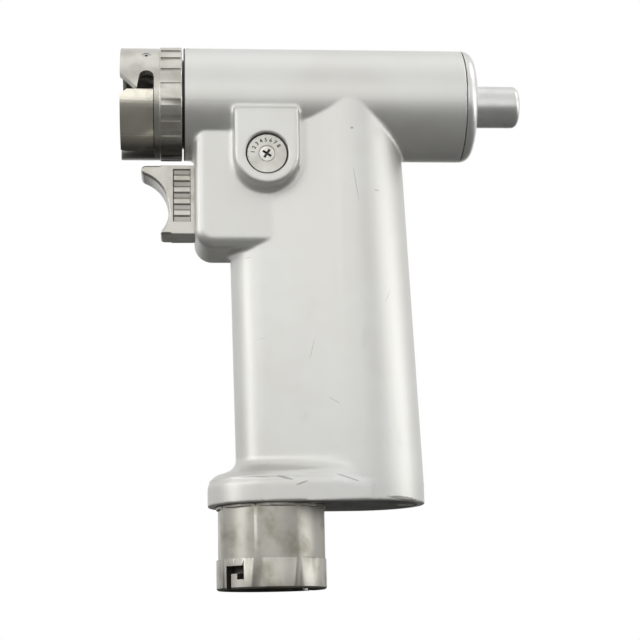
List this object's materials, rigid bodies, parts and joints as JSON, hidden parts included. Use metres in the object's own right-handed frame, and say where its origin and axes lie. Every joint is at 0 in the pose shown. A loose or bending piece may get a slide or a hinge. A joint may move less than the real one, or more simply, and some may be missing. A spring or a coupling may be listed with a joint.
{
  "type": "surgical power drill",
  "caption": "Pistol-shaped pneumatic surgical drill with quick-lock collar, trigger, planetary drive, speed dial and bayonet hose coupling.",
  "frame": {"origin": "on the spindle axis in the plane of the nose's front face", "axes": "the nose points to -X along the spindle axis, the grip hangs to -Z, the dial faces -Y"},
  "size_m": [0.1357, 0.0418, 0.1824],
  "materials": {
    "housing": "fine satin blast, light warm grey",
    "collar_metal": "turned and brushed",
    "coupling_metal": "turned and brushed",
    "trigger_metal": "satin",
    "plate_metal": "satin",
    "dial_metal": "engraved with plain numbers",
    "screw_steel": "bright",
    "tool_steel": "ground",
    "bearing_steel": "polished",
    "spring_steel": "spring wire",
    "seal_rubber": "black",
    "valve_brass": "turned",
    "valve_plastic": "white bearing plastic",
    "vane_plastic": "fabric-filled resin",
    "muffler_felt": "porous"
  },
  "bodies": {
    "housing": {"body_housing": "housing", "nose_sleeve": "collar_metal", "lock_spring": "spring_steel", "ring_gear": "tool_steel", "motor_cylinder": "tool_steel", "motor_dowel": "screw_steel", "motor_front_plate": "plate_metal", "motor_rear_plate": "plate_metal", "rear_cap": "housing", "rear_cap_seal": "seal_rubber", "guide_tube_holder": "housing", "guide_tube": "tool_steel", "grip_end_plate": "plate_metal", "end_plate_screws": "screw_steel", "hose_coupling": "coupling_metal", "inlet_tube": "valve_brass", "inlet_seal": "seal_rubber", "inlet_filter": "valve_brass", "exhaust_muffler": "muffler_felt", "trigger_spring": "spring_steel", "valve_sleeve": "valve_brass", "valve_seat": "valve_plastic", "spindle_bearing_outer": "bearing_steel", "front_rotor_bearing_outer": "bearing_steel", "rear_rotor_bearing_outer": "bearing_steel"},
    "collar": {"lock_collar": "collar_metal", "collar_stop_screws": "screw_steel"},
    "spindle": {"output_spindle": "tool_steel", "second_planet_pins": "tool_steel", "spindle_bearing_inner": "bearing_steel", "spindle_bearing_balls": "bearing_steel"},
    "carrier": {"first_carrier": "tool_steel", "first_planet_pins": "tool_steel"},
    "rotor": {"rotor": "tool_steel", "rotor_vanes": "vane_plastic", "front_rotor_bearing_inner": "bearing_steel", "front_rotor_bearing_balls": "bearing_steel", "rear_rotor_bearing_inner": "bearing_steel", "rear_rotor_bearing_balls": "bearing_steel"},
    "trigger": {"trigger": "trigger_metal", "trigger_stem": "tool_steel", "trigger_pin": "screw_steel"},
    "dial": {"speed_dial": "dial_metal", "dial_screw": "screw_steel", "metering_spool": "tool_steel", "spool_seal": "seal_rubber"},
    "second_planet_1": {"second_planet_1": "tool_steel"},
    "second_planet_2": {"second_planet_2": "tool_steel"},
    "second_planet_3": {"second_planet_3": "tool_steel"},
    "first_planet_1": {"first_planet_1": "tool_steel"},
    "first_planet_2": {"first_planet_2": "tool_steel"},
    "first_planet_3": {"first_planet_3": "tool_steel"}
  },
  "joints": [
    {"name": "collar_turn", "type": "hinge", "parent": "housing", "child": "collar", "pos_m": [0.01, 0, 0], "axis": [-1, 0, 0], "range_deg": [0, 16], "stiffness_Nm_per_rad": 0.1, "springref_deg": -28.65},
    {"name": "rotor_spin", "type": "hinge", "parent": "housing", "child": "rotor", "pos_m": [0.079, 0, 0], "axis": [1, 0, 0], "continuous": true},
    {"name": "carrier_turn", "type": "hinge", "parent": "housing", "child": "carrier", "pos_m": [0.047, 0, 0], "axis": [1, 0, 0], "continuous": true},
    {"name": "spindle_turn", "type": "hinge", "parent": "housing", "child": "spindle", "pos_m": [0.029, 0, 0], "axis": [1, 0, 0], "continuous": true},
    {"name": "trigger_pull", "type": "slide", "parent": "housing", "child": "trigger", "axis": [1, 0, 0], "range_m": [0, 0.005], "stiffness_N_per_m": 800, "springref_m": -0.008, "deforming": ["trigger_spring"]},
    {"name": "dial_turn", "type": "hinge", "parent": "housing", "child": "dial", "pos_m": [0.048, -0.018, -0.0231], "axis": [0, -1, 0], "range_deg": [-75, 75]},
    {"name": "first_planet_1_spin", "type": "hinge", "parent": "carrier", "child": "first_planet_1", "pos_m": [0.052, -0.009, 0], "axis": [1, 0, 0], "continuous": true},
    {"name": "first_planet_2_spin", "type": "hinge", "parent": "carrier", "child": "first_planet_2", "pos_m": [0.052, 0.0045, 0.00779], "axis": [1, 0, 0], "continuous": true},
    {"name": "first_planet_3_spin", "type": "hinge", "parent": "carrier", "child": "first_planet_3", "pos_m": [0.052, 0.0045, -0.00779], "axis": [1, 0, 0], "continuous": true},
    {"name": "second_planet_1_spin", "type": "hinge", "parent": "spindle", "child": "second_planet_1", "pos_m": [0.0412, -0.009, 0], "axis": [1, 0, 0], "continuous": true},
    {"name": "second_planet_2_spin", "type": "hinge", "parent": "spindle", "child": "second_planet_2", "pos_m": [0.0412, 0.0045, 0.00779], "axis": [1, 0, 0], "continuous": true},
    {"name": "second_planet_3_spin", "type": "hinge", "parent": "spindle", "child": "second_planet_3", "pos_m": [0.0412, 0.0045, -0.00779], "axis": [1, 0, 0], "continuous": true}
  ],
  "couplings": [
    {"joint": "carrier_turn", "follows": "rotor_spin", "ratio": 0.25},
    {"joint": "spindle_turn", "follows": "rotor_spin", "ratio": 0.0625},
    {"joint": "first_planet_1_spin", "follows": "rotor_spin", "ratio": -0.75},
    {"joint": "first_planet_2_spin", "follows": "rotor_spin", "ratio": -0.75},
    {"joint": "first_planet_3_spin", "follows": "rotor_spin", "ratio": -0.75},
    {"joint": "second_planet_1_spin", "follows": "rotor_spin", "ratio": -0.1875},
    {"joint": "second_planet_2_spin", "follows": "rotor_spin", "ratio": -0.1875},
    {"joint": "second_planet_3_spin", "follows": "rotor_spin", "ratio": -0.1875}
  ]
}
